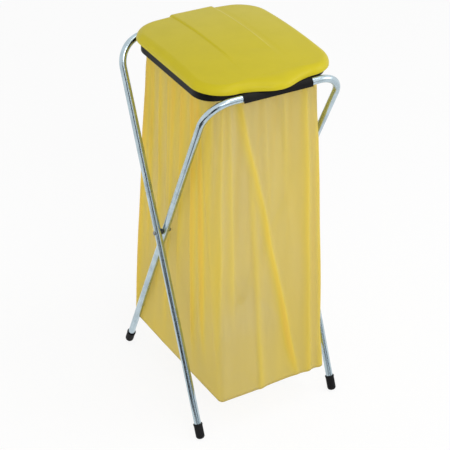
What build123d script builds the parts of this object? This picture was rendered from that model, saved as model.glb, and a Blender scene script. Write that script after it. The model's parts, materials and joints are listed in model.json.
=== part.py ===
from build123d import *
import math
import os

# Folding bin bag holder: two crossed tube frames, a hoop that hangs the bag between their top bars,
# and a lid over the hoop.
# Millimetres. X runs along the top bars, -Y is the front, +Z is up.
# The origin is on the floor, in the middle between the feet.

# Tube frames
tube_dia = 16.0
tube_wall = 1.2
bend_radius = 60.0
bar_height = 830.0          # centre of both top bars above the floor
bar_reach = 177.0           # centre of each top bar from the middle plane
foot_reach = 203.0          # where each leg's centre line meets the floor
outer_half_width = 178.5    # leg centres of the wider frame
pivot_gap = 2.5             # between the two tubes where they cross

# Foot caps
cap_length = 36.0
cap_wall = 2.0
cap_floor = 6.0
cap_round = 7.0
cap_bead = 0.6
cap_bead_height = 3.0
foot_flat_depth = 0.4       # worn flat where the round end stands on the floor

# Pivot bolts, nuts and spacers
bolt_dia = 5.0
bolt_head_dia = 9.5
bolt_head_height = 2.6
bolt_head_round = 2.0
bolt_tip = 1.0              # past the nut
bolt_tip_chamfer = 0.6
nut_across_flats = 8.0
nut_height = 4.0
nut_bevel = 1.0
spacer_dia = 13.0

# Hoop
hoop_side_gap = 8.0         # from the centres of the narrower frame's legs
hoop_front_gap = 27.0       # from the centre of the front bar
hoop_rear_gap = 21.0        # from the centre of the rear bar
hoop_drop = 10.0            # its underside below the bars' centres
hoop_corner = 46.0
hoop_floor = 2.5
hoop_edge_round = 1.2
band_height = 26.0
band_wall = 2.5
channel_width = 7.0
collar_wall = 2.5
collar_height = 30.0

# Clip over the front bar
clip_half_length = 80.0
clip_wall = 2.4
clip_drop = 6.0             # how far the front wall reaches below the bar's centre
clip_hook = 3.0             # how far above the bar's centre the rear wall ends
clip_rib_count = 7
clip_rib_depth = 5.0
rib_wall = 2.2

# Hinge sleeves round the rear bar
sleeve_wall = 2.3
sleeve_mouth = 100.0        # open angle under the bar, degrees
hoop_sleeve_near = 60.0
hoop_sleeve_length = 28.0
hoop_arm_thickness = 3.0
lid_sleeve_half_length = 46.0
lid_hinge_rib_count = 4
lid_hinge_rib_depth = 21.0

# Lid
lid_side_overhang = 5.0     # past the hoop's sides
lid_front_gap = 3.0         # its front edge behind the centre of the front bar
lid_rear_overhang = 7.0     # past the centre of the rear bar
lid_corner = 68.0
lid_wall = 2.4
lid_rim_rise = 11.0         # its rim above the bars' centres
lid_height = 29.0           # from the rim to the crown
lid_dome_radius = 1600.0
lid_edge_round = 17.0
ridge_half_width = 54.0     # raised band that runs forward from the hinge
ridge_front = 110.0
ridge_rear_sink = 9.0       # its rear end below the crown
ridge_middle_rise = 1.2     # its middle above the crown
ridge_front_sink = 5.4      # its front end below the crown
ridge_side_round = 7.0
ridge_rear_round = 10.0
lip_reach = 23.5            # how far the finger lip stands out at the front
lip_half_width = 92.0
lip_edge = 3.0              # upright part of the lip above the rim
lip_sink = 0.4              # how far the lip's ends lie under the lid's skin
# Share of the lip's half width from the middle, and share of its reach there
lip_swell = [
    (0, 1),
    (0.14, 0.95),
    (0.27, 0.8),
    (0.4, 0.58),
    (0.55, 0.34),
    (0.72, 0.15),
    (0.87, 0.03),
    (1, -0.04),
]

# Bag
film = 1.0
bag_bottom = 105.0
bag_bottom_front = 213.0
bag_bottom_rear = 175.0
bag_bottom_side_gap = 17.0  # from the centres of the narrower frame's legs
bag_bottom_taper = 8.0      # rear corners stand out by this much, front corners stand in
bag_bottom_corner = 10.0
bag_section_shares = [0, 0.3, 0.6, 0.85, 1]
bag_neck_drop = 8.0         # where the film leaves the collar, below the hoop's underside
bag_relax = 2.0             # how far the film springs out below the collar
bag_relax_drop = 20.0
gather_count = 24
points_per_gather = 5
gather_depth = 4.0
gather_rise = 0.5           # below 1 the gathers are deepest in the upper half
gather_unevenness = 0.35    # share by which deep and shallow gathers differ from the mean
gather_groups = 3           # how often deep and shallow gathers take turns round the bag
cuff_drop = 18.0

# Clearances
running_fit = 0.06          # radial, a bolt in its hole or a sleeve on its bar
loose_gap = 0.3             # between faces of pieces that only pass or rest
end_gap = 0.2               # beside the spacer and under the nut

# Worked out from the sizes above
tube_radius = tube_dia / 2
inner_half_width = outer_half_width - tube_dia - pivot_gap
leg_length = math.hypot(bar_reach + foot_reach, bar_height)
lean_sin = (bar_reach + foot_reach) / leg_length
lean_cos = bar_height / leg_length
pivot_height = bar_height * foot_reach / (bar_reach + foot_reach)
cap_radius = tube_radius + running_fit + cap_wall
cap_flat = cap_radius - cap_round
cap_tip = (cap_round + cap_flat * lean_sin - foot_flat_depth) / lean_cos - cap_round
clip_inner = tube_radius + loose_gap
clip_outer = clip_inner + clip_wall
clip_top = bar_height + clip_outer
sleeve_inner = tube_radius + running_fit
sleeve_outer = sleeve_inner + sleeve_wall
hoop_half_width = inner_half_width - hoop_side_gap
hoop_front = bar_reach - hoop_front_gap
hoop_rear = bar_reach - hoop_rear_gap
hoop_bottom = bar_height - hoop_drop
collar_inset = band_wall + channel_width
mouth_inset = collar_inset + collar_wall
hoop_middle = (hoop_rear - hoop_front) / 2
hoop_half_depth = (hoop_rear + hoop_front) / 2
lid_half_width = hoop_half_width + lid_side_overhang
lid_front = bar_reach - lid_front_gap
lid_rear = bar_reach + lid_rear_overhang
lid_rim = bar_height + lid_rim_rise
lid_crown = lid_rim + lid_height
bag_bottom_half_width = inner_half_width - bag_bottom_side_gap
bag_neck = hoop_bottom - bag_neck_drop


def leg_plane(side, at):
    """Plane of a U frame; side +1 has its bar at the rear, -1 at the front. Its Y runs up the legs."""
    return Plane(origin=at, x_dir=(1, 0, 0), z_dir=(0, -lean_cos, side * lean_sin))


def frame_tube(side, half_width):
    """One U of bent tube, open at both ends and drilled for the pivot bolts."""
    run = leg_length - cap_tip - cap_floor
    corners = [(-half_width, -run), (-half_width, 0), (half_width, 0), (half_width, -run)]
    path = leg_plane(side, (0, side * bar_reach, bar_height)) * FilletPolyline(*corners, radius=bend_radius)
    start = Plane(origin=path @ 0, z_dir=path % 0)
    skin = sweep(start * Circle(tube_radius), path=path)
    bore = sweep(start * Circle(tube_radius - tube_wall), path=path)
    across = 2 * (half_width + tube_dia)
    drill = Pos(0, 0, pivot_height) * Rot(0, 90, 0) * Cylinder(bolt_dia / 2 + running_fit, across)
    return skin - bore - drill


def foot_cap(side, x):
    """A push-on cap with a bead at its mouth and a rounded end that stands on the floor."""
    top = cap_tip + cap_length
    bore = tube_radius + running_fit
    with BuildPart() as cap:
        with BuildSketch(Plane.XZ):
            with BuildLine():
                floor_line = Line((0, cap_tip), (cap_flat, cap_tip))
                turn = RadiusArc(floor_line @ 1, (cap_radius, cap_tip + cap_round), -cap_round)
                Polyline(
                    turn @ 1,
                    (cap_radius, top - cap_bead_height),
                    (cap_radius + cap_bead, top - cap_bead_height),
                    (cap_radius + cap_bead, top),
                    (bore, top),
                    (bore, cap_tip + cap_floor),
                    (0, cap_tip + cap_floor),
                    floor_line @ 0,
                )
            make_face()
        revolve(axis=Axis.Z)
    foot = Plane(origin=(x, -side * foot_reach, 0), x_dir=(1, 0, 0), z_dir=(0, side * lean_sin, lean_cos))
    under_floor = Pos(x, -side * foot_reach, -cap_length / 2) * Box(cap_length, cap_length, cap_length)
    return foot * cap.part - under_floor


def pivot_plane(side, x):
    """Plane on the pivot axis, its Z pointing outwards on the given side."""
    return Plane(origin=(side * x, 0, pivot_height), x_dir=(0, 1, 0), z_dir=(side, 0, 0))


def pivot_bolt(side):
    """A domed bolt through both tubes, with its head against the outer one."""
    grip = outer_half_width - inner_half_width + tube_dia + end_gap + nut_height + bolt_tip
    head = extrude(Circle(bolt_head_dia / 2), amount=bolt_head_height)
    head = fillet(head.edges().group_by(Axis.Z)[-1], bolt_head_round)
    shank = extrude(Circle(bolt_dia / 2), amount=-grip)
    shank = chamfer(shank.edges().group_by(Axis.Z)[0], bolt_tip_chamfer)
    return pivot_plane(side, outer_half_width + tube_radius) * (head + shank)


def pivot_nut(side):
    """A hexagon nut on the bolt's inner end."""
    corner = nut_across_flats / 2 / math.cos(math.pi / 6)
    blank = extrude(RegularPolygon(corner, 6) - Circle(bolt_dia / 2 + running_fit), amount=-nut_height)
    rounding = Pos(0, 0, -nut_height / 2) * Cone(corner - nut_bevel, corner + nut_bevel, nut_height)
    return pivot_plane(side, inner_half_width - tube_radius - end_gap) * (blank & rounding)


def pivot_spacer(side):
    """The plastic washer between the two tubes."""
    ring = Circle(spacer_dia / 2) - Circle(bolt_dia / 2 + running_fit)
    return pivot_plane(side, outer_half_width - tube_radius - end_gap) * extrude(
        ring, amount=-(pivot_gap - 2 * end_gap)
    )


def hoop_outline(inset):
    """The hoop's outline in plan, drawn smaller by inset."""
    width, depth = hoop_half_width - inset, hoop_half_depth - inset
    return Pos(0, hoop_middle) * RectangleRounded(2 * width, 2 * depth, hoop_corner - inset)


def hoop_ring():
    """A channel, open upwards: the band outside, the collar that the bag turns over inside."""
    band = extrude(hoop_outline(0) - hoop_outline(band_wall), amount=band_height)
    collar = extrude(hoop_outline(collar_inset) - hoop_outline(mouth_inset), amount=collar_height)
    floor = extrude(hoop_outline(0) - hoop_outline(mouth_inset), amount=hoop_floor)
    ring = band + collar + floor
    outside = ring.edges().group_by(Axis.Z)[0].sort_by(SortBy.LENGTH)
    rim = [e for e in outside if hoop_outline(band_wall).face().distance_to(e) > band_wall / 2]
    return Pos(0, 0, hoop_bottom) * fillet(rim, hoop_edge_round)


def front_clip():
    """A saddle over the front bar: a full front wall, and a rear wall short enough to lift off."""
    width = 2 * clip_outer
    outside = Circle(clip_outer) + Pos(0, -clip_drop / 2) * Rectangle(width, clip_drop)
    inside = Circle(clip_inner) + Pos(0, -width / 2) * Rectangle(2 * clip_inner, width)
    below = Pos(0, -clip_drop - width / 2) * Rectangle(2 * width, width)
    rear = Pos(width / 2, clip_hook - width / 2) * Rectangle(width, width)
    profile = outside - inside - below - rear
    saddle = extrude(Plane.YZ * profile, amount=clip_half_length, both=True)
    saddle = Pos(0, -bar_reach, bar_height) * saddle
    rear_face = -bar_reach + clip_inner + clip_wall / 2
    reach = -hoop_front + band_wall / 2 - rear_face
    middle = rear_face + reach / 2
    shelf = Pos(0, middle, clip_top - clip_wall / 2) * Box(2 * clip_half_length, reach, clip_wall)
    pitch = 2 * (clip_half_length - rib_wall / 2) / (clip_rib_count - 1)
    for i in range(clip_rib_count):
        x = (i - (clip_rib_count - 1) / 2) * pitch
        rib_middle = clip_top - clip_wall - clip_rib_depth / 2
        shelf += Pos(x, middle, rib_middle) * Box(rib_wall, reach, clip_rib_depth)
    return saddle + shelf


def bar_sleeve(near, length):
    """A sleeve that snaps over the rear bar, open underneath, from X near onwards."""
    half_mouth = math.radians(sleeve_mouth / 2)
    reach = 2 * sleeve_outer
    wedge = Polygon(
        (0, 0),
        (reach * math.sin(half_mouth), -reach * math.cos(half_mouth)),
        (-reach * math.sin(half_mouth), -reach * math.cos(half_mouth)),
        align=None,
    )
    profile = Circle(sleeve_outer) - Circle(sleeve_inner) - wedge
    return Pos(near, bar_reach, bar_height) * extrude(Plane.YZ * profile, amount=length)


def hoop_arm(near):
    """A sleeve with the arm and side ribs that join it to the back of the hoop."""
    sleeve = bar_sleeve(near, hoop_sleeve_length)
    rear_face = bar_reach - sleeve_inner - sleeve_wall / 2
    start = hoop_rear - band_wall / 2
    middle_x = near + hoop_sleeve_length / 2
    middle_y = (start + rear_face) / 2
    arm = Pos(middle_x, middle_y, bar_height) * Box(hoop_sleeve_length, rear_face - start, hoop_arm_thickness)
    for x in (near + rib_wall / 2, near + hoop_sleeve_length - rib_wall / 2):
        arm += Pos(x, middle_y, bar_height) * Box(rib_wall, rear_face - start, sleeve_outer)
    return sleeve + arm


def bag_hoop():
    """The hoop in one moulding with its front clip and its two rear sleeves."""
    hoop = hoop_ring() + front_clip()
    for near in (hoop_sleeve_near, -hoop_sleeve_near - hoop_sleeve_length):
        hoop += hoop_arm(near)
    return hoop


def lid_ridge(inset):
    """The raised band: proud of the lid at the hinge, running out before the front."""
    rear = lid_rear - inset
    top = ThreePointArc(
        (-ridge_front, lid_crown - ridge_front_sink - inset),
        (0, lid_crown + ridge_middle_rise - inset),
        (rear, lid_crown - ridge_rear_sink - inset),
    )
    foot = Polyline(top @ 1, (rear, lid_rim), (-ridge_front, lid_rim), top @ 0)
    ridge = extrude(Plane.YZ * make_face([top, foot]), amount=ridge_half_width - inset, both=True)
    rear_edge = ridge.edges().filter_by(Axis.X).group_by(Axis.Y)[-1].sort_by(Axis.Z)[-1]
    ridge = fillet(rear_edge, ridge_rear_round - inset)
    lengthways = ridge.edges().filter_by(lambda e: e.length > ridge_front + rear / 2)
    return fillet(lengthways.sort_by(Axis.Z)[-2:], ridge_side_round)


def lid_lip(inset):
    """The finger lip: the rounded front edge swells out in the middle and runs out at both sides."""
    front, half = -lid_front + inset, lip_half_width - inset
    crease = front + lid_edge_round - inset
    seat = lid_rim + lip_edge
    low = lid_rim - (lid_wall if inset else 0)
    swell = [(-across, out) for across, out in reversed(lip_swell[1:])] + lip_swell
    sections = []
    for across, out in swell:
        drop = (crease**2 + (half * across) ** 2) / (2 * lid_dome_radius)
        high = lid_crown - drop - lip_sink - inset
        reach = crease - front + lip_reach * out
        edge = EllipticalCenterArc((crease, seat), reach, high - seat, start_angle=90, arc_size=90)
        rest = Polyline(edge @ 1, (crease - reach, low), (crease, low), edge @ 0)
        sections.append(Plane.YZ.offset(half * across) * make_face([edge, rest]))
    return loft(sections)


def lid_form(inset):
    """The lid's outside as a full solid, or its inside when drawn smaller by the wall."""
    depth = lid_front + lid_rear - 2 * inset
    plan = RectangleRounded(2 * (lid_half_width - inset), depth, lid_corner - inset)
    low = lid_rim - (lid_wall if inset else 0)
    block = extrude(Pos(0, (lid_rear - lid_front) / 2, low) * plan, amount=lid_crown - low)
    dome = Pos(0, 0, lid_crown - lid_dome_radius) * Sphere(lid_dome_radius - inset)
    form = block & dome
    edges = form.faces().filter_by(GeomType.SPHERE).edges()
    form = fillet(edges, lid_edge_round - inset)
    return form + lid_ridge(inset) + lid_lip(inset)


def lid():
    """The moulded lid, with the sleeve and ribs that hinge it on the rear bar."""
    outside = lid_form(0)
    shell = outside - lid_form(lid_wall)
    half = lid_sleeve_half_length
    sleeve = bar_sleeve(-half, 2 * half)
    wall_low = bar_height + tube_radius
    rear_wall = Pos(0, lid_rear - lid_wall / 2, (wall_low + lid_rim + lid_wall) / 2) * Box(
        2 * half, lid_wall, lid_rim + lid_wall - wall_low
    )
    hinge = sleeve + rear_wall
    pitch = (2 * half - rib_wall) / (lid_hinge_rib_count - 1)
    rib_height = lid_crown - bar_height - tube_radius
    for i in range(lid_hinge_rib_count):
        x = -half + rib_wall / 2 + i * pitch
        rib = Pos(x, lid_rear - lid_hinge_rib_depth / 2, bar_height + tube_radius + rib_height / 2) * Box(
            rib_wall, lid_hinge_rib_depth, rib_height
        )
        low = Pos(x, bar_reach, bar_height + tube_radius) * Box(rib_wall, tube_dia, lid_hinge_rib_depth)
        hinge += rib & (outside + low)
    bar = Pos(0, bar_reach, bar_height) * Rot(0, 90, 0) * Cylinder(sleeve_inner, 2 * lid_half_width)
    return shell + hinge - bar


def round_the_outline(share, half_x, half_y, radius):
    """Point and outward direction a share of the way round a rounded rectangle."""
    quarter, along = divmod(share * 4, 1)
    run_x, run_y, turn = half_x - radius, half_y - radius, math.pi / 2 * radius
    if quarter % 2:
        along = 1 - along
    along *= run_x + run_y + turn
    if along < run_y:
        x, y, angle = half_x, along, 0
    elif along < run_y + turn:
        angle = (along - run_y) / radius
        x, y = run_x + radius * math.cos(angle), run_y + radius * math.sin(angle)
    else:
        x, y, angle = run_x - (along - run_y - turn), half_y, math.pi / 2
    flip_x = -1 if quarter in (1, 2) else 1
    flip_y = -1 if quarter in (2, 3) else 1
    return flip_x * x, flip_y * y, flip_x * math.cos(angle), flip_y * math.sin(angle)


def bag_section(z, inset):
    """The bag's closed outline at a height, with its gathers, drawn smaller by inset."""
    fall = max(0, bag_neck - z) / (bag_neck - bag_bottom)
    neck_x = hoop_half_width - mouth_inset - loose_gap
    neck_y = hoop_half_depth - mouth_inset - loose_gap
    neck_corner = hoop_corner - mouth_inset - loose_gap
    bottom_y = (bag_bottom_front + bag_bottom_rear) / 2
    bottom_middle = (bag_bottom_rear - bag_bottom_front) / 2
    half_x = neck_x + (bag_bottom_half_width - neck_x) * fall
    half_y = neck_y + (bottom_y - neck_y) * fall
    relax = bag_relax * (1 - math.exp((z - bag_neck) / bag_relax_drop)) * (1 - fall)
    half_x, half_y = half_x + relax, half_y + relax
    middle = hoop_middle + (bottom_middle - hoop_middle) * fall
    corner = neck_corner + (bag_bottom_corner - neck_corner) * fall
    depth = gather_depth * math.sin(math.pi * fall**gather_rise)
    count = gather_count * points_per_gather
    points = []
    for i in range(count):
        share = i / count
        x, y, out_x, out_y = round_the_outline(share, half_x, half_y, corner)
        group = math.sin(2 * math.pi * gather_groups * share)
        strength = 1 - gather_unevenness * (1 - group)
        wave = (math.cos(2 * math.pi * gather_count * share) - 1) / 2
        push = depth * strength * wave - inset
        x *= 1 + bag_bottom_taper * fall * y / (half_x * half_y)
        points.append((x + push * out_x, middle + y + push * out_y, z))
    return make_face([Spline(*points, periodic=True)])


def bag_body(inset, top):
    """The hanging part of the bag and its neck as a full solid, drawn smaller by inset."""
    low = bag_bottom + inset
    heights = [low + (bag_neck - low) * share for share in bag_section_shares]
    sections = [bag_section(z, inset) for z in heights]
    return loft(sections) + extrude(sections[-1], amount=top - bag_neck)


def bag():
    """The film bag: gathered into the hoop, up inside the collar and turned down over it."""
    collar_top = hoop_bottom + collar_height + loose_gap
    body = bag_body(0, collar_top + film) - bag_body(film, collar_top + 2 * film)
    outside = hoop_outline(collar_inset - loose_gap - film)
    mouth = hoop_outline(mouth_inset + loose_gap + film / 2)
    turn = extrude(Pos(0, 0, collar_top) * (outside - mouth), amount=film)
    cuff_ring = outside - hoop_outline(collar_inset - loose_gap)
    cuff = extrude(Pos(0, 0, collar_top) * cuff_ring, amount=-cuff_drop)
    return body + (turn + cuff)


def build_parts():
    """Every piece by name."""
    parts = {
        "outer_leg_tube": frame_tube(1, outer_half_width),
        "inner_leg_tube": frame_tube(-1, inner_half_width),
        "bag_hoop": bag_hoop(),
        "lid": lid(),
        "bag": bag(),
    }
    for hand, side in (("left", -1), ("right", 1)):
        parts[f"outer_foot_cap_{hand}"] = foot_cap(1, side * outer_half_width)
        parts[f"inner_foot_cap_{hand}"] = foot_cap(-1, side * inner_half_width)
        parts[f"pivot_bolt_{hand}"] = pivot_bolt(side)
        parts[f"pivot_nut_{hand}"] = pivot_nut(side)
        parts[f"pivot_spacer_{hand}"] = pivot_spacer(side)
    return parts


os.makedirs("parts", exist_ok=True)
for name, shape in build_parts().items():
    export_step(shape, f"parts/{name}.step")
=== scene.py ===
"""Looks of the folding bin bag holder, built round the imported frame.

Lengths are in metres, in the frame's own axes: X along the top bars, -Y the front, +Z up.
"""
import json
import logging
import math
from collections.abc import Mapping, Sequence
from dataclasses import dataclass, field
from enum import Enum

import bmesh
import bpy
from mathutils import Matrix, Vector, noise


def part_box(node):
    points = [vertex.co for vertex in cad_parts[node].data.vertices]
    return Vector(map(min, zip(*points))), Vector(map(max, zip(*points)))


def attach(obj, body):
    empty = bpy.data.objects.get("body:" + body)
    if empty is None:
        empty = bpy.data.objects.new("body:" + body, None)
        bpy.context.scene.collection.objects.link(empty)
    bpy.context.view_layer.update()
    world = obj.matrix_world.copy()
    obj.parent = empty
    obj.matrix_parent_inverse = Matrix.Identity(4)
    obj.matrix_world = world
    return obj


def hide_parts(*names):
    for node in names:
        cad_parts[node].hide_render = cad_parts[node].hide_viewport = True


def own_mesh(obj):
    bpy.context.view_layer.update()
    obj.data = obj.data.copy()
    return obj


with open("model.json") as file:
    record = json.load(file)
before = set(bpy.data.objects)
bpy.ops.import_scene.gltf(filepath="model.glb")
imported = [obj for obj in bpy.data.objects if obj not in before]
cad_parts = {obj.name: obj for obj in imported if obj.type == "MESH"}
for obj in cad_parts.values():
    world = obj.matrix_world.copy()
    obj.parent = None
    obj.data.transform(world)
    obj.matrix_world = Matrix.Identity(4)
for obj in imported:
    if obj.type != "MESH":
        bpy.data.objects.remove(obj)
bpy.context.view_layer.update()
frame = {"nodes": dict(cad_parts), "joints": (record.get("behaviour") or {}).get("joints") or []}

log = logging.getLogger("bin_bag_holder")
Colour = tuple[float, float, float]
Triple = tuple[float, float, float]


class Body(Enum):
    """The bodies that the made pieces ride on."""

    OUTER_FRAME = "outer_frame"
    INNER_FRAME = "inner_frame"
    HOOP = "hoop"


class Side(Enum):
    """A face of the bag, by the direction that it looks in."""

    FRONT = (0.0, -1.0)
    BACK = (0.0, 1.0)
    LEFT = (-1.0, 0.0)
    RIGHT = (1.0, 0.0)


class Socket:
    """The output of a node, with arithmetic that adds Math nodes."""

    def __init__(self, shader: "Shader", output: bpy.types.NodeSocket) -> None:
        """Wrap one output of a node in a shader."""
        self.shader = shader
        self.output = output

    def math(self, operation: str, *values: "Socket | float") -> "Socket":
        """Return a Math node of that operation on the values."""
        settings = {"operation": operation}
        return self.shader.node("ShaderNodeMath", settings, dict(enumerate(values)))

    def __add__(self, other: "Socket | float") -> "Socket":
        """Add."""
        return self.math("ADD", self, other)

    __radd__ = __add__

    def __sub__(self, other: "Socket | float") -> "Socket":
        """Subtract."""
        return self.math("SUBTRACT", self, other)

    def __rsub__(self, other: float) -> "Socket":
        """Subtract from a number."""
        return self.math("SUBTRACT", other, self)

    def __mul__(self, other: "Socket | float") -> "Socket":
        """Multiply."""
        return self.math("MULTIPLY", self, other)

    __rmul__ = __mul__

    def __abs__(self) -> "Socket":
        """Drop the sign."""
        return self.math("ABSOLUTE", self)

    def at_least(self, other: "Socket | float") -> "Socket":
        """Return the greater of the two."""
        return self.math("MAXIMUM", self, other)

    def at_most(self, other: "Socket | float") -> "Socket":
        """Return the smaller of the two."""
        return self.math("MINIMUM", self, other)

    def spread(self, low: float, high: float) -> "Socket":
        """Stretch the range low to high over 0 to 1, with smooth ends.

        Args:
            low: Value that becomes 0.
            high: Value that becomes 1.

        Returns:
            The stretched value, held between 0 and 1.
        """
        settings = {"interpolation_type": "SMOOTHSTEP"}
        return self.shader.node("ShaderNodeMapRange", settings, {0: self, 1: low, 2: high})


class Shader:
    """A material or a world whose nodes are written as expressions."""

    def __init__(self, name: str, kind: str = "Material") -> None:
        """Make one without nodes.

        Args:
            name: Its name.
            kind: Material or World.
        """
        self.kind = kind
        self.made = (bpy.data.worlds if kind == "World" else bpy.data.materials).new(name)
        self.made.use_nodes = True
        self.tree = self.made.node_tree
        self.tree.nodes.clear()
        self.place = self.node("ShaderNodeTexCoord", output="Object")

    def node(
        self,
        kind: str,
        settings: Mapping[str, object] | None = None,
        inputs: Mapping[str | int, object] | None = None,
        output: str | int = 0,
    ) -> Socket:
        """Add a node.

        Args:
            kind: The node's type.
            settings: Its own settings, set before its sockets.
            inputs: Values or links of its sockets, by name or index.
            output: The output to return.

        Returns:
            The chosen output.
        """
        made = self.tree.nodes.new(kind)
        for name, value in (settings or {}).items():
            setattr(made, name, value)
        for key, value in (inputs or {}).items():
            if isinstance(value, Socket):
                self.tree.links.new(value.output, made.inputs[key])
            else:
                made.inputs[key].default_value = value
        return Socket(self, made.outputs[output])

    def attribute(self, name: str, output: str = "Fac") -> Socket:
        """Read a point attribute of the mesh."""
        return self.node("ShaderNodeAttribute", {"attribute_name": name}, output=output)

    def axis(self, name: str) -> Socket:
        """Return the place on the object along one of its axes, X, Y or Z."""
        return self.node("ShaderNodeSeparateXYZ", None, {0: self.place}, name)

    def to_eye(self) -> Socket:
        """Return 1 for rays of the camera, of gloss and through clear film, and 0 for others."""
        seen = self.node("ShaderNodeLightPath", output="Is Camera Ray")
        for ray in ("Is Glossy Ray", "Is Transmission Ray"):
            seen = seen.at_least(self.node("ShaderNodeLightPath", output=ray))
        return seen

    def stretched(
        self, scale: Triple, turn: Triple = (0, 0, 0), at: Socket | None = None
    ) -> Socket:
        """Return the place on the object, turned and scaled along each axis.

        Args:
            scale: Factor along X, Y and Z.
            turn: Angles about X, Y and Z, in radians.
            at: The vector to start from, or None for the object's coordinates.

        Returns:
            The changed vector.
        """
        values = {"Vector": at or self.place, "Rotation": turn, "Scale": scale}
        return self.node("ShaderNodeMapping", None, values)

    def noise(self, scale: float, detail: float, rough: float, at: Socket | None = None) -> Socket:
        """Return smooth noise from 0 to 1.

        Args:
            scale: Cells to a metre of the vector.
            detail: Number of finer layers.
            rough: Strength of each finer layer beside the last.
            at: The vector to read at, or None for the object's coordinates.

        Returns:
            The noise.
        """
        values = {"Vector": at or self.place, "Scale": scale, "Detail": detail, "Roughness": rough}
        return self.node("ShaderNodeTexNoise", None, values)

    def mix(self, share: Socket | float, first: Socket | Colour, second: Socket | Colour) -> Socket:
        """Mix two colours.

        Args:
            share: How much of the second colour, from 0 to 1.
            first: Colour where the share is 0.
            second: Colour where the share is 1.

        Returns:
            The mixed colour.
        """
        first, second = (c if isinstance(c, Socket) else (*c, 1.0) for c in (first, second))
        return self.node("ShaderNodeMix", {"data_type": "RGBA"}, {0: share, 6: first, 7: second}, 2)

    def bump(self, height: Socket, distance: float, under: Socket | None = None) -> Socket:
        """Turn a height into a normal.

        Args:
            height: Height from 0 to 1.
            distance: Metres that a height of 1 stands for.
            under: A coarser normal that this one adds to.

        Returns:
            The normal.
        """
        values: dict[str | int, object] = {"Height": height, "Distance": distance}
        if under is not None:
            values["Normal"] = under
        return self.node("ShaderNodeBump", None, values)

    def principled(self, inputs: Mapping[str | int, object]) -> Socket:
        """Return a Principled shader with those sockets."""
        return self.node("ShaderNodeBsdfPrincipled", None, inputs)

    def shade(self, surface: Socket) -> bpy.types.Material | bpy.types.World:
        """Show a shader as the surface.

        Args:
            surface: The shader.

        Returns:
            The finished material or world.
        """
        shown = self.tree.nodes.new(f"ShaderNodeOutput{self.kind}")
        self.tree.links.new(surface.output, shown.inputs["Surface"])
        return self.made


@dataclass(frozen=True)
class PlatedTube:
    """Bright zinc plating on drawn steel tube, with fine lines along it."""

    bright: Colour = (0.52, 0.63, 0.69)
    dull: Colour = (0.38, 0.47, 0.52)
    speckled: Colour = (0.24, 0.27, 0.29)
    smooth: float = 0.14
    rough: float = 0.28
    line_rough: float = 0.05
    line_cells: Triple = (9, 9, 3)
    fine_cells: Triple = (40, 40, 9)
    cloud_cells: float = 38.0
    speck_cells: float = 420.0
    speck_share: float = 0.35
    line_height: float = 0.00008
    fine_height: float = 0.00002

    def material(self) -> bpy.types.Material:
        """Return the finish, read along the tube's own length."""
        shader = Shader("plated_tube")
        along = shader.attribute("draw_line", "Vector")
        lines = shader.noise(1.0, 3.0, 0.6, shader.stretched(self.line_cells, at=along))
        fine = shader.noise(1.0, 2.0, 0.6, shader.stretched(self.fine_cells, at=along))
        cloud = shader.noise(self.cloud_cells, 3.0, 0.55)
        speck = shader.noise(self.speck_cells, 2.0, 0.6).spread(0.62, 0.74)
        worn = (lines * 0.5 + cloud * 0.5).spread(0.38, 0.66)
        colour = shader.mix(worn, self.bright, self.dull)
        colour = shader.mix(speck * self.speck_share, colour, self.speckled)
        rough = self.smooth + (self.rough - self.smooth) * worn + self.line_rough * fine
        normal = shader.bump(lines, self.line_height)
        normal = shader.bump(fine, self.fine_height, normal)
        values = {"Base Color": colour, "Metallic": 1.0, "Roughness": rough, "Normal": normal}
        return shader.shade(shader.principled(values))


@dataclass(frozen=True)
class MouldedPlastic:
    """Satin moulded plastic with a fine spark-eroded grain and scuffs."""

    name: str
    colour: Colour
    scuffed: Colour
    roughness: float
    grain: float
    grain_cells: float = 900.0
    shine: float = 0.5
    cloud_cells: float = 22.0
    cloud_share: float = 0.5
    cloud_rough: float = 0.08
    scratch_cells: float = 60.0
    scratch_stretch: Triple = (1, 9, 3)
    scratch_turn: Triple = (0.3, 0.5, 0.9)
    scratch_share: float = 0.35
    scratch_rough: float = 0.06

    def material(self) -> bpy.types.Material:
        """Return the finish."""
        shader = Shader(self.name)
        cloud = shader.noise(self.cloud_cells, 4.0, 0.55)
        grain = shader.noise(self.grain_cells, 2.0, 0.6)
        turned = shader.stretched(self.scratch_stretch, self.scratch_turn)
        scratch = shader.noise(self.scratch_cells, 3.0, 0.6, turned).spread(0.63, 0.72)
        worn = cloud.spread(0.35, 0.7) * self.cloud_share + scratch * self.scratch_share
        rough = self.roughness + self.cloud_rough * (cloud - 0.5) + self.scratch_rough * scratch
        values = {
            "Base Color": shader.mix(worn, self.colour, self.scuffed),
            "Roughness": rough,
            "Normal": shader.bump(grain, self.grain, self.relief(shader)),
            "Specular IOR Level": self.shine,
        }
        return shader.shade(shader.principled(values))

    def relief(self, shader: Shader) -> Socket | None:
        """Return the normal of forms too soft for the mesh, or None."""
        return None


@dataclass(frozen=True)
class LidPlastic(MouldedPlastic):
    """The lid's plastic, whose top carries the soft front ends of the ridge's two sides."""

    step_place: float = -0.053
    step_width: float = 0.005
    step_run: float = 0.10
    groove_place: float = 0.057
    groove_width: float = 0.013
    groove_share: float = 0.8
    fades_from: float = -0.03
    fades_to: float = -0.15
    height: float = 0.0007

    def relief(self, shader: Shader) -> Socket | None:
        """Return the normal of a soft step on the left and a soft groove on the right.

        Args:
            shader: The material that is being made.

        Returns:
            The normal.
        """
        across = shader.axis("X")
        half, place = self.step_width / 2, self.step_place
        step = across.spread(place - half, place + half)
        step = step * (1 - across.spread(place + self.step_width, place + self.step_run))
        groove = abs(across - self.groove_place).spread(0, self.groove_width)
        lasting = shader.axis("Y").spread(self.fades_to, self.fades_from)
        return shader.bump((step + self.groove_share * groove) * lasting, self.height)


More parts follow.
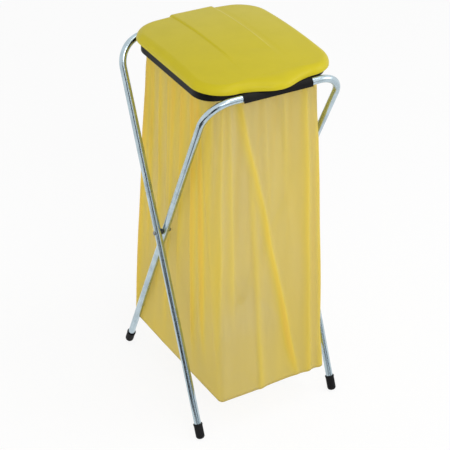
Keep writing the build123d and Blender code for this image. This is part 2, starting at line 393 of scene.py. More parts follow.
@dataclass(frozen=True)
class BoltSteel:
    """Plated bolt steel, dulled in patches."""

    colour: Colour = (0.34, 0.35, 0.36)
    dark: Colour = (0.16, 0.17, 0.17)
    smooth: float = 0.28
    rough: float = 0.48
    cloud_cells: float = 300.0
    fine_cells: float = 1800.0
    fine_height: float = 0.00002

    def material(self) -> bpy.types.Material:
        """Return the finish."""
        shader = Shader("bolt_steel")
        cloud = shader.noise(self.cloud_cells, 3.0, 0.6)
        fine = shader.noise(self.fine_cells, 2.0, 0.6)
        values = {
            "Base Color": shader.mix(cloud.spread(0.4, 0.65), self.colour, self.dark),
            "Metallic": 1.0,
            "Roughness": self.smooth + (self.rough - self.smooth) * cloud,
            "Normal": shader.bump(fine, self.fine_height),
        }
        return shader.shade(shader.principled(values))


@dataclass(frozen=True)
class BagFilm:
    """Thin translucent film, deeper in colour where it lies double in a pleat, with painted shade
    towards the bottom.
    """

    milky: Colour = (0.695, 0.625, 0.305)
    deep: Colour = (0.79, 0.68, 0.115)
    double: Colour = (0.86, 0.63, 0.10)
    glow: Colour = (0.95, 0.80, 0.22)
    cover: float = 0.50
    pleat_cover: float = 0.86
    let_through: float = 0.42
    # Painted shade: the film's colour is mixed towards this dark tone low on the bag, standing in
    # for the lesser light there.
    shaded: Colour = (0.2, 0.15, 0.02)
    painted_low_shade: float = 0.08
    painted_shade_full_below: float = 0.15
    painted_shade_gone_above: float = 0.5
    streak_cells: Triple = (34, 34, 2.2)
    streak_share: float = 0.10
    broad_cells: Triple = (7, 7, 1.6)
    broad_share: float = 0.30
    crinkle_cells: Triple = (46, 46, 7)
    crinkle_height: float = 0.0006
    fine_cells: float = 210.0
    fine_height: float = 0.00008
    smooth: float = 0.36
    streak_rough: float = 0.16
    shine: float = 0.35

    def material(self) -> bpy.types.Material:
        """Return the finish."""
        shader = Shader("bag_film")
        pleat = shader.attribute("pleat")
        streak = shader.noise(1.0, 3.0, 0.55, shader.stretched(self.streak_cells))
        broad = shader.noise(1.0, 2.0, 0.5, shader.stretched(self.broad_cells))
        layers = pleat + self.streak_share * streak + self.broad_share * broad.spread(0.4, 0.7)
        share = layers.at_most(1.0)
        colour = shader.mix(share, self.milky, self.deep)
        colour = shader.mix(layers.spread(0.65, 1.6), colour, self.double)
        # Painted shade: darker towards the bottom of the bag, full below the lower height and gone
        # above the upper one.
        low = 1 - shader.axis("Z").spread(self.painted_shade_full_below, self.painted_shade_gone_above)
        colour = shader.mix(self.painted_low_shade * low, colour, self.shaded)
        crinkle = shader.noise(1.0, 3.0, 0.5, shader.stretched(self.crinkle_cells))
        fine = shader.noise(self.fine_cells, 3.0, 0.55)
        normal = shader.bump(crinkle, self.crinkle_height)
        normal = shader.bump(fine, self.fine_height, normal)
        values = {
            "Base Color": colour,
            "Roughness": self.smooth + self.streak_rough * streak,
            "Normal": normal,
            "Specular IOR Level": self.shine,
        }
        front = shader.principled(values)
        through = {"Color": (*self.glow, 1), "Normal": normal}
        glow = shader.node("ShaderNodeBsdfTranslucent", None, through)
        film = shader.node("ShaderNodeMixShader", None, {0: self.let_through, 1: front, 2: glow})
        clear = shader.node("ShaderNodeBsdfTransparent")
        cover = self.cover + (self.pleat_cover - self.cover) * share
        return shader.shade(shader.node("ShaderNodeMixShader", None, {0: cover, 1: clear, 2: film}))


@dataclass(frozen=True)
class StudioPaint:
    """The pale floor, which shows white and keeps the object's shadow."""

    colour: Colour = (0.95, 0.95, 0.95)
    clouded: Colour = (0.92, 0.92, 0.92)
    cloud_share: float = 0.1
    roughness: float = 0.9
    shine: float = 0.1
    lift: float = 0.88

    def material(self) -> bpy.types.Material:
        """Return the finish."""
        shader = Shader("studio_floor")
        tone = shader.noise(1.5, 2.0, 0.5)
        colour = shader.mix(tone * self.cloud_share, self.colour, self.clouded)
        values = {
            "Base Color": colour,
            "Roughness": self.roughness,
            "Specular IOR Level": self.shine,
        }
        paint = shader.principled(values)
        white = shader.node("ShaderNodeEmission", None, {"Color": (1, 1, 1, 1), "Strength": 1.0})
        both = {0: shader.to_eye() * self.lift, 1: paint, 2: white}
        return shader.shade(shader.node("ShaderNodeMixShader", None, both))


@dataclass(frozen=True)
class FlagPaint:
    """The dull bluish paint of the flags that only gloss shows."""

    tone: float
    dark: Colour = (0.8, 0.9, 1.0)
    pale: Colour = (1.1, 1.2, 1.3)

    def material(self) -> bpy.types.Material:
        """Return the finish."""
        shader = Shader("studio_flag")
        dark = tuple(part * self.tone for part in self.dark)
        pale = tuple(part * self.tone for part in self.pale)
        colour = shader.mix(shader.noise(3.0, 2.0, 0.5), dark, pale)
        values = {"Base Color": colour, "Roughness": 1.0, "Specular IOR Level": 0.0}
        return shader.shade(shader.principled(values))


def smooth_step(value: float, low: float, high: float) -> float:
    """Return 0 below low, 1 above high, and a smooth rise between them."""
    share = min(1.0, max(0.0, (value - low) / (high - low)))
    return share * share * (3 - 2 * share)


def piece_from(
    build: bmesh.types.BMesh, name: str, material: bpy.types.Material
) -> bpy.types.Object:
    """Turn a bmesh into a smooth shaded object at the origin.

    Args:
        build: The finished bmesh, which is freed.
        name: The piece's name.
        material: Its finish.

    Returns:
        The object, linked to the scene.
    """
    mesh = bpy.data.meshes.new(name)
    build.to_mesh(mesh)
    build.free()
    mesh.materials.append(material)
    mesh.shade_smooth()
    made = bpy.data.objects.new(name, mesh)
    bpy.context.scene.collection.objects.link(made)
    return made


def stretched_noise(place: Vector, cells: Triple, shift: float = 0.0) -> float:
    """Return smooth noise whose cells have their own size along each axis.

    Args:
        place: Where to read it.
        cells: Cells to a metre along X, Y and Z.
        shift: Added along Z, so that two noises differ.

    Returns:
        The noise, from -1 to 1.
    """
    across, deep, up = (part * count for part, count in zip(place, cells))
    return noise.noise(Vector((across, deep, up + shift)))


def dress(words: Sequence[str], material: bpy.types.Material) -> list[bpy.types.Object]:
    """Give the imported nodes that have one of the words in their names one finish.

    Args:
        words: Parts of the nodes' names.
        material: The finish.

    Returns:
        The nodes' objects.
    """
    dressed = [
        shown for node, shown in frame["nodes"].items() if any(word in node for word in words)
    ]
    for shown in dressed:
        if not shown.material_slots:
            shown.data.materials.append(material)
        for slot in shown.material_slots:
            slot.material = material
    return dressed


@dataclass(frozen=True)
class StandSizes:
    """Sizes of the stand, read from the frame."""

    bar_reach: float
    bar_height: float
    pivot_height: float
    tube_radius: float

    @classmethod
    def from_frame(cls) -> "StandSizes":
        """Read the hinge bar, the pivot and the tube from the frame."""
        places = {joint["name"]: Vector(joint["pos_m"]) for joint in frame["joints"]}
        bar = places["lid_hinge"]
        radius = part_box("outer_leg_tube")[1].y - bar.y
        return cls(bar.y, bar.z, places["frame_fold"].z, radius)

    @property
    def lean(self) -> float:
        """Angle of the legs from upright."""
        return math.atan2(self.bar_reach, self.bar_height - self.pivot_height)


@dataclass
class BentFrame:
    """One U of drawn tube: two leaning legs joined by a bar through two bends."""

    node: str
    body: Body
    side: int
    sizes: StandSizes
    bend_radius: float = 0.060
    wall: float = 0.0012
    facets: int = 48
    bend_steps: int = 20
    end_ring: float = 0.002
    _along: float = field(default=0.0, init=False)

    def plane(self) -> Matrix:
        """Return the U's plane: X across, Y up the legs, its origin in the middle of the bar."""
        lean = self.side * self.sizes.lean
        up = Vector((0, math.sin(lean), math.cos(lean)))
        across = Vector((1, 0, 0))
        turn = Matrix((across, up, across.cross(up))).transposed().to_4x4()
        middle = (0, self.side * self.sizes.bar_reach, self.sizes.bar_height)
        return Matrix.Translation(middle) @ turn

    def extend(self, build: bmesh.types.BMesh, ring: list, move: Matrix, length: float) -> list:
        """Carry the tube on by one ring.

        Args:
            build: The bmesh.
            ring: Edges of the last ring.
            move: Where the last ring goes.
            length: Metres of tube that this adds.

        Returns:
            Edges of the new ring.
        """
        self._along += length
        grown = bmesh.ops.extrude_edge_only(build, edges=ring)["geom"]
        verts = [g for g in grown if isinstance(g, bmesh.types.BMVert)]
        bmesh.ops.transform(build, matrix=move, verts=verts)
        layer = build.verts.layers.float_vector["draw_line"]
        for vert in verts:
            vert[layer].z = self._along
        new = set(verts)
        return [g for g in grown if isinstance(g, bmesh.types.BMEdge) and set(g.verts) <= new]

    def bend(self, build: bmesh.types.BMesh, ring: list, centre: Vector) -> list:
        """Turn the tube a quarter clockwise, in small steps.

        Args:
            build: The bmesh.
            ring: Edges of the last ring.
            centre: The middle of the bend.

        Returns:
            Edges of the last new ring.
        """
        angle = -math.pi / 2 / self.bend_steps
        turn = Matrix.Rotation(angle, 4, "Z")
        step = Matrix.Translation(centre) @ turn @ Matrix.Translation(-centre)
        for _ in range(self.bend_steps):
            ring = self.extend(build, ring, step, self.bend_radius * abs(angle))
        return ring

    def run(self, build: bmesh.types.BMesh, ring: list, lengths: Sequence[float], way: int) -> list:
        """Carry the tube straight on, up the leg or down it.

        Args:
            build: The bmesh.
            ring: Edges of the last ring.
            lengths: Length of each stretch between rings.
            way: 1 up the leg, -1 down it.

        Returns:
            Edges of the last new ring.
        """
        for length in lengths:
            ring = self.extend(build, ring, Matrix.Translation((0, way * length, 0)), length)
        return ring

    def build(self, material: bpy.types.Material) -> bpy.types.Object:
        """Make the tube and stand it in for its node.

        Args:
            material: The tube's finish.

        Returns:
            The tube.
        """
        low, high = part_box(self.node)
        radius, lean = self.sizes.tube_radius, self.sizes.lean
        half = high.x - radius
        run = (self.sizes.bar_height - low.z - radius * math.sin(lean)) / math.cos(lean)
        straight = run - self.bend_radius - self.end_ring
        bar = 2 * (half - self.bend_radius)
        build = bmesh.new()
        layer = build.verts.layers.float_vector.new("draw_line")
        ends = Matrix.Translation((-half, -run, 0)) @ Matrix.Rotation(-math.pi / 2, 4, "X")
        ring_verts = bmesh.ops.create_circle(build, segments=self.facets, radius=radius)["verts"]
        for vert in ring_verts:
            vert[layer] = (vert.co.x / radius, vert.co.y / radius, 0)
        bmesh.ops.transform(build, matrix=ends, verts=ring_verts)
        ring = list(build.edges)
        self._along = 0.0
        ring = self.run(build, ring, (self.end_ring, straight), 1)
        ring = self.bend(build, ring, Vector((-half + self.bend_radius, -self.bend_radius, 0)))
        ring = self.extend(build, ring, Matrix.Translation((bar, 0, 0)), bar)
        ring = self.bend(build, ring, Vector((half - self.bend_radius, -self.bend_radius, 0)))
        self.run(build, ring, (straight, self.end_ring), -1)
        bmesh.ops.transform(build, matrix=self.plane(), verts=build.verts)
        bmesh.ops.recalc_face_normals(build, faces=build.faces)
        tube = piece_from(build, self.node + "_drawn", material)
        wall = tube.modifiers.new("wall", "SOLIDIFY")
        wall.thickness = self.wall
        wall.offset = -1
        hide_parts(self.node)
        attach(tube, self.body.value)
        return tube


@dataclass(frozen=True)
class Pleat:
    """A fold of the film that runs down one side of the bag.

    Top and bottom are places along the side: X on the front and back, Y on the left and right.
    """

    side: Side
    top: float
    bottom: float
    width: float = 0.010
    depth: float = 0.003
    starts: float = -0.05
    ends: float = 0.9
    shade: float = 0.8
    sharp_side: int = 1
    sharp_share: float = 0.45
    least_facing: float = 0.05
    wander: float = 0.003
    wander_cells: Triple = (31, 17, 4)
    fade_in: float = 0.10
    fade_out: float = 0.25

    def strength(self, place: Vector, out: Vector, fall: float) -> float:
        """Return how much of the fold there is at a place on the bag.

        Args:
            place: Point on the smooth bag.
            out: Its outward direction.
            fall: 0 at the hoop, 1 at the bottom.

        Returns:
            From 0 away from the fold to 1 on its crest.
        """
        facing = out.x * self.side.value[0] + out.y * self.side.value[1]
        if facing <= self.least_facing:
            return 0.0
        coordinate = place.x if self.side in (Side.FRONT, Side.BACK) else place.y
        middle = self.top + (self.bottom - self.top) * fall
        key = Vector((self.top, self.bottom, fall))
        middle += self.wander * stretched_noise(key, self.wander_cells)
        offset = (coordinate - middle) * self.sharp_side
        width = self.width * (self.sharp_share if offset > 0 else 1.0)
        across = math.exp(-((offset / width) ** 2))
        begun = smooth_step(fall, self.starts, self.starts + self.fade_in)
        ended = smooth_step(fall, self.ends - self.fade_out, self.ends)
        return across * begun * (1 - ended) * facing**0.5


def photo_pleats() -> list[Pleat]:
    """Return the long folds that show on the front and the left side, and like ones behind."""
    front, left, right, back = Side.FRONT, Side.LEFT, Side.RIGHT, Side.BACK
    return [
        Pleat(front, -0.127, -0.160, 0.012, 0.0045, ends=1.0, shade=0.59),
        Pleat(front, -0.104, -0.140, 0.010, 0.0035, ends=0.95, shade=0.45),
        Pleat(front, -0.088, -0.098, 0.011, 0.0025, ends=0.8, shade=0.45),
        Pleat(front, -0.066, 0.068, 0.014, 0.0035, ends=1.1, shade=0.85),
        Pleat(front, -0.048, -0.030, 0.012, starts=0.18, ends=1.2, shade=0.5, sharp_side=-1),
        Pleat(front, -0.006, 0.004, 0.010, 0.0020, ends=0.5, shade=0.23),
        Pleat(front, 0.042, 0.040, 0.008, 0.0018, ends=0.45, shade=0.2, sharp_side=-1),
        Pleat(front, 0.094, 0.099, 0.013, 0.0040, ends=1.2, shade=0.6),
        Pleat(front, 0.122, 0.126, 0.012, starts=0.1, ends=1.2, shade=0.5, sharp_side=-1),
        Pleat(left, 0.112, 0.176, 0.019, 0.0040, ends=1.1),
        Pleat(left, 0.086, 0.120, 0.014, ends=0.8, shade=0.6, sharp_side=-1),
        Pleat(left, 0.056, 0.080, 0.014, shade=0.55),
        Pleat(left, 0.020, 0.040, 0.013, 0.0020, ends=0.6, shade=0.4),
        Pleat(left, -0.006, 0.034, 0.014, ends=1.0, shade=0.5, sharp_side=-1),
        Pleat(left, -0.040, -0.020, 0.014, 0.0025, ends=0.8, shade=0.45),
        Pleat(left, -0.080, -0.095, 0.016, 0.0040, ends=1.0),
        Pleat(left, -0.108, -0.150, 0.016, 0.0040, ends=0.95, sharp_side=-1),
        Pleat(right, 0.105, 0.140, 0.010, 0.0040, shade=0.7),
        Pleat(right, 0.064, 0.060, 0.009, ends=0.7, shade=0.5),
        Pleat(right, 0.030, 0.075, 0.009, 0.0040, ends=1.0, sharp_side=-1),
        Pleat(right, -0.015, -0.040, 0.009, shade=0.6),
        Pleat(right, -0.062, -0.075, 0.008, 0.0025, ends=0.6, shade=0.45),
        Pleat(right, -0.104, -0.160, 0.011, 0.0040, ends=1.0),
        Pleat(back, 0.118, 0.128, 0.011, 0.0040, ends=1.0),
        Pleat(back, 0.080, 0.050, 0.009, 0.0035, shade=0.7, sharp_side=-1),
        Pleat(back, 0.034, 0.060, 0.009, ends=0.7, shade=0.5),
        Pleat(back, -0.012, -0.018, 0.009, 0.0035, ends=1.0, shade=0.7),
        Pleat(back, -0.060, -0.030, 0.009, ends=0.8, shade=0.6, sharp_side=-1),
        Pleat(back, -0.112, -0.125, 0.011, 0.0040, ends=1.0),
    ]


@dataclass
class FilmBag:
    """The film bag: a tube of film gathered into the hoop, welded flat under its bottom."""

    sizes: StandSizes
    around: int = 360
    cuff_rows: int = 5
    turn_rows: int = 4
    neck_rows: int = 6
    hang_rows: int = 92
    floor_rows: int = 12
    film: float = 0.0003
    gap: float = 0.0003
    lift: float = 0.0005
    mouth_inset: float = 0.012
    cuff_inset: float = 0.0092
    hoop_corner: float = 0.046
    bottom_corner: float = 0.010
    bottom_taper: float = 0.008
    bottom_half_width: float = 0.143
    bottom_front: float = 0.213
    bottom_rear: float = 0.175
    shoulder_in: float = 0.005
    waist_in: float = 0.004
    corner_flare: float = 0.009
    rear_flare: float = 0.0045
    bottom_droop: float = 0.0025
    front_droop: float = 0.002
    corner_droop: float = 0.004
    hoop_front_gap: float = 0.027
    hoop_rear_gap: float = 0.021
    neck_drop: float = 0.006
    cuff_depth: float = 0.018
    cuff_waves: int = 70
    cuff_wave: float = 0.0007
    cuff_ragged: float = 0.004
    cuff_shade: float = 0.5
    turn_rise: float = 0.0006
    turn_shade: float = 0.4
    pucker: float = 0.0006
    neck_shade: float = 0.35
    weld_rise: float = 0.001
    weld_reach: float = 0.0006
    floor_sag: float = 0.0015
    floor_cells: float = 30.0
    gather_count: int = 34
    gather_depth: float = 0.0019
    gather_length: float = 0.16
    gather_drift: float = 2.2
    billow: float = 0.004
    billow_cells: Triple = (9, 9, 2.2)
    swell_cells: Triple = (26, 26, 4)
    swell_share: float = 0.35
    crinkle: float = 0.0009
    crinkle_cells: Triple = (14, 14, 3)
    # The left and right faces are deeper in colour, most near the top; the film is also deeper in
    # colour towards the bottom.
    side_deepening: float = 0.5
    lower_deepening: float = 0.3
    pleats: list[Pleat] = field(default_factory=photo_pleats)

    def __post_init__(self) -> None:
        """Find the hoop's plan, the bag's heights and its bottom's middle."""
        low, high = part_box("bag_hoop")
        self.hoop_half_width = high.x
        bag_low, bag_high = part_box("bag")
        self.bottom, self.top = bag_low.z, bag_high.z
        self.collar_bottom = low.z
        front = self.sizes.bar_reach - self.hoop_front_gap
        rear = self.sizes.bar_reach - self.hoop_rear_gap
        self.hoop_middle = (rear - front) / 2
        self.hoop_half_depth = (rear + front) / 2
        self.bottom_middle = (self.bottom_rear - self.bottom_front) / 2
        self.bottom_half_depth = (self.bottom_rear + self.bottom_front) / 2

    def outline(
        self, share: float, half_x: float, half_y: float, corner: float
    ) -> tuple[Vector, Vector]:
        """Return a point of a rounded rectangle and its outward direction.

        Args:
            share: Share of the way round, from the middle of the right side.
            half_x: Half the width.
            half_y: Half the depth.
            corner: Radius of the corners.

        Returns:
            The point and the direction, both in plan.
        """
        quarter, along = divmod(share * 4 % 4, 1)
        run_x, run_y, turn = half_x - corner, half_y - corner, math.pi / 2 * corner
        if quarter % 2:
            along = 1 - along
        along *= run_x + run_y + turn
        if along < run_y:
            x, y, angle = half_x, along, 0.0
        elif along < run_y + turn:
            angle = (along - run_y) / corner
            x, y = run_x + corner * math.cos(angle), run_y + corner * math.sin(angle)
        else:
            x, y, angle = run_x - (along - run_y - turn), half_y, math.pi / 2
        flip_x = -1 if quarter in (1, 2) else 1
        flip_y = -1 if quarter in (2, 3) else 1
        out = Vector((flip_x * math.cos(angle), flip_y * math.sin(angle), 0))
        return Vector((flip_x * x, flip_y * y, 0)), out

    def in_hoop(self, share: float, inset: float) -> tuple[Vector, Vector]:
        """Return a point inside the hoop.

        Args:
            share: Share of the way round.
            inset: How far inside the hoop's outline.

        Returns:
            The point and its outward direction.
        """
        half_x, half_y = self.hoop_half_width - inset, self.hoop_half_depth - inset
        place, out = self.outline(share, half_x, half_y, self.hoop_corner - inset)
        return place + Vector((0, self.hoop_middle, 0)), out

    def hanging(self, share: float, fall: float, closed: float = 0.0) -> tuple[Vector, float]:
        """Return a point of the hanging film.

        Args:
            share: Share of the way round.
            fall: 0 under the hoop, 1 at the bottom.
            closed: How far the point has gone from the bag's side to the weld under its bottom.

        Returns:
            The point and its pleat depth.
        """
        inset = self.mouth_inset + self.gap
        half_x = self.hoop_half_width - inset
        half_y = self.hoop_half_depth - inset
        corner = (self.hoop_corner - inset) * (1 - fall) + self.bottom_corner * fall
        half_x += (self.bottom_half_width - half_x) * fall
        half_y += (self.bottom_half_depth - half_y) * fall
        middle = self.hoop_middle + (self.bottom_middle - self.hoop_middle) * fall
        place, out = self.outline(share, half_x, half_y, corner)
        place.y *= 1 - closed
        left, right = (0.5 - 0.5 * side * place.x / half_x for side in (1, -1))
        front = 0.5 - 0.5 * place.y / half_y
        place.x *= 1 + self.bottom_taper * fall * place.y / (half_x * half_y)
        place.x += self.right_hang(fall) * front * right
        place.x -= self.rear_flare * fall**2 * (1 - front) * left
        place.y += middle
        droop = self.bottom_droop + (self.front_droop + self.corner_droop * left) * front
        place.z = self.neck_bottom + (self.bottom - self.neck_bottom) * fall - droop * fall**4
        push, shade = self.fold(place, out, share, fall)
        return place + out * push * (1 - closed), shade * (1 - closed)

    def right_hang(self, fall: float) -> float:
        """Return how far the front right edge hangs out from a straight line."""
        shoulder = self.shoulder_in * (1 - smooth_step(fall, 0.1, 0.45))
        waist = self.waist_in * smooth_step(fall, 0.55, 0.84)
        return self.corner_flare * smooth_step(fall, 0.86, 1.0) - shoulder - waist

    @property
    def neck_bottom(self) -> float:
        """Height where the film comes out under the collar."""
        return self.collar_bottom - self.neck_drop

    def fold(self, place: Vector, out: Vector, share: float, fall: float) -> tuple[float, float]:
        """Work out the gathers, swells, crinkles and pleats at a place on the bag.

        Args:
            place: Point on the smooth bag.
            out: Its outward direction.
            share: Share of the way round.
            fall: 0 under the hoop, 1 at the bottom.

        Returns:
            How far the film stands out there, and its pleat depth.
        """
        free = smooth_step(fall, 0.0, 0.06)
        hem = 1 - smooth_step(fall, 0.90, 1.0)
        drift = self.gather_drift * math.sin(2 * math.pi * 3 * share)
        beat = math.cos(2 * math.pi * self.gather_count * share + drift)
        uneven = 0.6 + 0.4 * noise.noise(Vector((share * 19, 3.1, 0)))
        fading = math.exp(-fall / self.gather_length) * (0.25 + 0.75 * free)
        swell = stretched_noise(place, self.billow_cells)
        swell += self.swell_share * stretched_noise(place, self.swell_cells, 7)
        across, deep, up = (part * count for part, count in zip(place, self.crinkle_cells))
        ridges = noise.ridged_multi_fractal(Vector((across, deep, up)), 1.0, 2.2, 4, 0.9, 2.0)
        push = self.gather_depth * beat * uneven * fading
        push += self.billow * swell * free * (0.35 + 0.65 * hem)
        push += self.crinkle * (ridges - 1.1) * free * (0.3 + 0.7 * hem)
        # Deeper colour on the left and right faces, most near the top, and deeper colour towards
        # the bottom.
        gathered = self.side_deepening * abs(out.x) * (1 - 0.6 * fall)
        gathered += self.lower_deepening * smooth_step(fall, 0.6, 1.0)
        folded = 0.0
        for pleat in self.pleats:
            strength = pleat.strength(place, out, fall)
            push += pleat.depth * strength * (0.4 + 0.6 * free)
            folded = max(folded, pleat.shade * strength)
        return push, gathered + folded

    def cuff(self, share: float, part: float) -> tuple[Vector, float]:
        """Return a point of the loose edge in the hoop's channel.

        Args:
            share: Share of the way round.
            part: 0 at the edge, 1 at the turn.

        Returns:
            The point and its pleat depth.
        """
        place, out = self.in_hoop(share, self.cuff_inset - self.gap - self.lift)
        wave = self.cuff_wave * math.cos(2 * math.pi * self.cuff_waves * share)
        ragged = self.cuff_ragged * noise.noise(Vector((share * 23, 1.7, 0)))
        place += out * wave * (1 - part)
        place.z = self.top - (self.cuff_depth + ragged) * (1 - part)
        return place, self.cuff_shade

    def turn(self, share: float, part: float) -> tuple[Vector, float]:
        """Return a point of the film that turns over the collar.

        Args:
            share: Share of the way round.
            part: 0 at the cuff, 1 at the neck.

        Returns:
            The point and its pleat depth.
        """
        inset = self.cuff_inset + (self.mouth_inset - self.cuff_inset) * part
        place, _ = self.in_hoop(share, inset - (self.gap + self.lift) * math.cos(math.pi * part))
        place.z = self.top - self.lift + self.turn_rise * math.sin(math.pi * part)
        return place, self.turn_shade

    def neck(self, share: float, part: float) -> tuple[Vector, float]:
        """Return a point of the puckered film that runs down inside the collar.

        Args:
            share: Share of the way round.
            part: 0 at the turn, 1 where the bag hangs free.

        Returns:
            The point and its pleat depth.
        """
        place, out = self.in_hoop(share, self.mouth_inset + self.gap + self.lift)
        pucker = self.pucker * (1 + math.cos(4 * math.pi * self.gather_count * share))
        place -= out * pucker * math.sin(math.pi * part)
        place.z = self.top - self.turn_rise + (self.neck_bottom - self.top) * part
        return place, self.neck_shade

    def floor(self, share: float, part: float) -> tuple[Vector, float]:
        """Return a point of the bag's floor.

        Args:
            share: Share of the way round.
            part: 0 at the side, 1 at the weld.

        Returns:
            The point and its pleat depth.
        """
        place, shade = self.hanging(share, 1.0, part)
        uneven = stretched_noise(place, (self.floor_cells, self.floor_cells, 0))
        place.z += self.weld_rise * part + self.floor_sag * math.sin(math.pi * part) * uneven
        return place, shade

    def row(self, index: int, share: float) -> tuple[Vector, float]:
        """Return a point of the bag by its row, from the cuff's edge to the weld.

        Args:
            index: The row.
            share: Share of the way round.

        Returns:
            The point and its pleat depth.
        """
        for count, stretch in (
            (self.cuff_rows, self.cuff),
            (self.turn_rows, self.turn),
            (self.neck_rows, self.neck),
            (self.hang_rows, self.hanging),
        ):
            if index < count:
                return stretch(share, index / count)
            index -= count
        return self.floor(share, index / self.floor_rows)

    def build(self, material: bpy.types.Material) -> bpy.types.Object:
        """Args:
            material: The film's finish.

        Returns:
            The bag.
        """
        rows = self.cuff_rows + self.turn_rows + self.neck_rows + self.hang_rows + self.floor_rows
        build = bmesh.new()
        shade_layer = build.verts.layers.float.new("pleat")
        bmesh.ops.create_cone(
            build, cap_ends=False, segments=self.around, radius1=1, radius2=1, depth=rows
        )
        upright = [e for e in build.edges if abs(e.verts[0].co.z - e.verts[1].co.z) > rows / 2]
        bmesh.ops.subdivide_edges(build, edges=upright, cuts=rows - 1, use_grid_fill=True)
        for vert in build.verts:
            share = math.atan2(vert.co.y, vert.co.x) / (2 * math.pi) % 1
            index = round(rows / 2 - vert.co.z)
            share = round(share * self.around) / self.around
            vert.co, vert[shade_layer] = self.row(index, share)
        weld = [vert for vert in build.verts if abs(vert.co.y - self.bottom_middle) < 1e-6]
        bmesh.ops.remove_doubles(build, verts=weld, dist=self.weld_reach)
        bmesh.ops.recalc_face_normals(build, faces=build.faces)
        bag = piece_from(build, "film_bag", material)
        wall = bag.modifiers.new("film", "SOLIDIFY")
        wall.thickness = self.film
        wall.offset = 0
        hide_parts("bag")
        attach(bag, Body.HOOP.value)
        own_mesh(bag)
        return bag


@dataclass(frozen=True)
class Lamp:
    """A square soft lamp; one that gloss doesn't show throws no shadows either."""

    name: str
    place: Triple
    size: float
    power: float
    in_gloss: bool = True


@dataclass(frozen=True)
class Flag:
    """A panel that stands in front of the object, by its direction, width, heights and tone."""

    azimuth: float
    width: float
    low: float
    high: float
    tone: float = 0.03


@dataclass(frozen=True)
class FloorFlag:
    """A panel that lies on the floor, by its edges."""

    left: float
    right: float
    front: float
    back: float


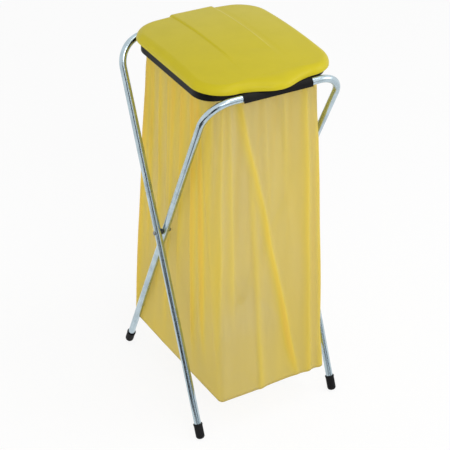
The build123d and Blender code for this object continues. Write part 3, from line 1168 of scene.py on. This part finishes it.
@dataclass
class Studio:
    """The camera at the photograph's angle, the pale floor and the soft lamps."""

    camera_place: Triple = (-1.2470, -2.1091, 2.0086)
    camera_forward: Triple = (0.4233, 0.7160, -0.5551)
    camera_roll: float = 1.35
    lens: float = 103.4
    sensor: float = 36.0
    shift: tuple[float, float] = (-0.0064, 0.0282)
    floor_half: float = 14.0
    ambient: float = 0.60
    aim: Triple = (0, 0, 0.5)
    lamps: tuple[Lamp, ...] = (
        Lamp("key", (-0.6, -3.0, 2.6), 1.6, 37.0),
        Lamp("fill", (2.8, -1.6, 1.9), 1.6, 23.0),
        Lamp("top", (0.7, -0.9, 3.2), 1.4, 15.0),
        Lamp("side", (-2.5, 0.5, 0.3), 0.5, 12.0, False),
    )
    flag_distance: float = 2.4
    flags: tuple[Flag, ...] = (
        Flag(-62.0, 1.1, 0.0, 0.55),
        Flag(-34.0, 1.1, 0.0, 2.2),
        Flag(-32.0, 2.0, 0.85, 2.2),
        Flag(-8.0, 1.0, 0.0, 2.2, 0.70),
        Flag(18.0, 1.3, 0.0, 0.6, 0.15),
    )
    floor_flag_height: float = 0.002
    floor_flags: tuple[FloorFlag, ...] = (
        FloorFlag(-2.6, -1.15, -1.6, 0.2),
        FloorFlag(-1.15, -0.4, -0.75, -0.16),
    )

    def camera(self) -> None:
        """Set the scene's camera."""
        data = bpy.data.cameras.new("camera")
        data.lens = self.lens
        data.sensor_width = self.sensor
        data.shift_x, data.shift_y = self.shift
        data.clip_end = 60.0
        shown = bpy.data.objects.new("camera", data)
        bpy.context.scene.collection.objects.link(shown)
        forward = Vector(self.camera_forward).normalized()
        right = forward.cross(Vector((0, 0, 1))).normalized()
        up = right.cross(forward)
        roll = math.radians(self.camera_roll)
        across = right * math.cos(roll) + up * math.sin(roll)
        upward = up * math.cos(roll) - right * math.sin(roll)
        turn = Matrix((across, upward, -forward)).transposed().to_4x4()
        shown.matrix_world = Matrix.Translation(self.camera_place) @ turn
        bpy.context.scene.camera = shown

    def floor(self) -> None:
        """Lay the floor."""
        build = bmesh.new()
        bmesh.ops.create_grid(build, x_segments=1, y_segments=1, size=self.floor_half)
        piece_from(build, "studio_floor", StudioPaint().material())

    def lamp(self, lamp: Lamp) -> None:
        """Hang a lamp, turned to the object.

        Args:
            lamp: The lamp.
        """
        data = bpy.data.lights.new(lamp.name, "AREA")
        data.shape = "SQUARE"
        data.size = lamp.size
        data.energy = lamp.power
        shown = bpy.data.objects.new(lamp.name, data)
        shown.visible_glossy = data.use_shadow = lamp.in_gloss
        bpy.context.scene.collection.objects.link(shown)
        way = Vector(self.aim) - Vector(lamp.place)
        turn = way.to_track_quat("-Z", "Y").to_matrix().to_4x4()
        shown.matrix_world = Matrix.Translation(lamp.place) @ turn

    def flag(
        self, name: str, place: Matrix, size: tuple[float, float], tone: float = 0.03
    ) -> None:
        """Set up a panel that gloss alone shows, so that plated tube gets its dark lines.

        Args:
            name: The panel's name.
            place: Turns and moves the panel from the XY plane round the origin.
            size: Its sizes along its own X and Y.
            tone: How pale it is, from 0 to 1.
        """
        build = bmesh.new()
        bmesh.ops.create_grid(build, x_segments=1, y_segments=1, size=0.5)
        bmesh.ops.scale(build, vec=(*size, 1), verts=build.verts)
        bmesh.ops.transform(build, matrix=place, verts=build.verts)
        panel = piece_from(build, name, FlagPaint(tone).material())
        panel.visible_camera = panel.visible_diffuse = False
        panel.visible_shadow = panel.visible_transmission = False

    def all_flags(self) -> None:
        """Stand the panels in front of the object and lay the others on the floor."""
        for index, flag in enumerate(self.flags):
            angle = math.radians(flag.azimuth)
            x, y = math.sin(angle) * self.flag_distance, -math.cos(angle) * self.flag_distance
            turn = Matrix.Rotation(angle, 4, "Z") @ Matrix.Rotation(math.pi / 2, 4, "X")
            place = Matrix.Translation((x, y, (flag.low + flag.high) / 2)) @ turn
            self.flag(f"flag_{index}", place, (flag.width, flag.high - flag.low), flag.tone)
        for index, flag in enumerate(self.floor_flags):
            x, y = (flag.left + flag.right) / 2, (flag.front + flag.back) / 2
            place = Matrix.Translation((x, y, self.floor_flag_height))
            size = (flag.right - flag.left, flag.back - flag.front)
            self.flag(f"flag_floor_{index}", place, size)

    def world(self) -> None:
        """Light the room evenly and show it white to the camera, gloss and clear film."""
        shader = Shader("studio", "World")
        strength = self.ambient + (1 - self.ambient) * shader.to_eye()
        light = {"Color": (1, 1, 1, 1), "Strength": strength}
        bpy.context.scene.world = shader.shade(shader.node("ShaderNodeBackground", None, light))

    def build(self) -> None:
        """Set the whole studio."""
        self.camera()
        self.floor()
        self.world()
        for lamp in self.lamps:
            self.lamp(lamp)
        self.all_flags()
        bpy.context.scene.view_settings.view_transform = "Standard"


CAP_RUBBER = MouldedPlastic(
    "cap_rubber", (0.007, 0.007, 0.008), (0.018, 0.018, 0.019), 0.58, grain=0.00006, shine=0.1
)
HOOP_PLASTIC = MouldedPlastic(
    "hoop_plastic", (0.007, 0.007, 0.007), (0.016, 0.015, 0.013), 0.42, grain=0.00004, shine=0.1
)
SPACER_PLASTIC = MouldedPlastic(
    "spacer_plastic", (0.03, 0.036, 0.032), (0.05, 0.055, 0.05), 0.5, grain=0.00003
)
LID_PLASTIC = LidPlastic(
    name="lid_plastic",
    colour=(0.565, 0.475, 0.016),
    scuffed=(0.53, 0.445, 0.018),
    roughness=0.36,
    grain=0.00003,
    grain_cells=700.0,
    shine=0.14,
)


def main() -> None:
    """Build the object's looks round the frame."""
    logging.basicConfig(level=logging.INFO, format="%(name)s: %(message)s")
    Studio().build()
    sizes = StandSizes.from_frame()
    tube = PlatedTube().material()
    pieces = [
        BentFrame("outer_leg_tube", Body.OUTER_FRAME, 1, sizes).build(tube),
        BentFrame("inner_leg_tube", Body.INNER_FRAME, -1, sizes).build(tube),
        *dress(["foot_cap"], CAP_RUBBER.material()),
        *dress(["bolt", "nut"], BoltSteel().material()),
        *dress(["bag_hoop"], HOOP_PLASTIC.material()),
        *dress(["spacer"], SPACER_PLASTIC.material()),
        *dress(["lid"], LID_PLASTIC.material()),
        FilmBag(sizes).build(BagFilm().material()),
    ]
    for piece in pieces:
        log.info("%s: %d faces", piece.name, len(piece.data.polygons))


if __name__ == "__main__":
    main()
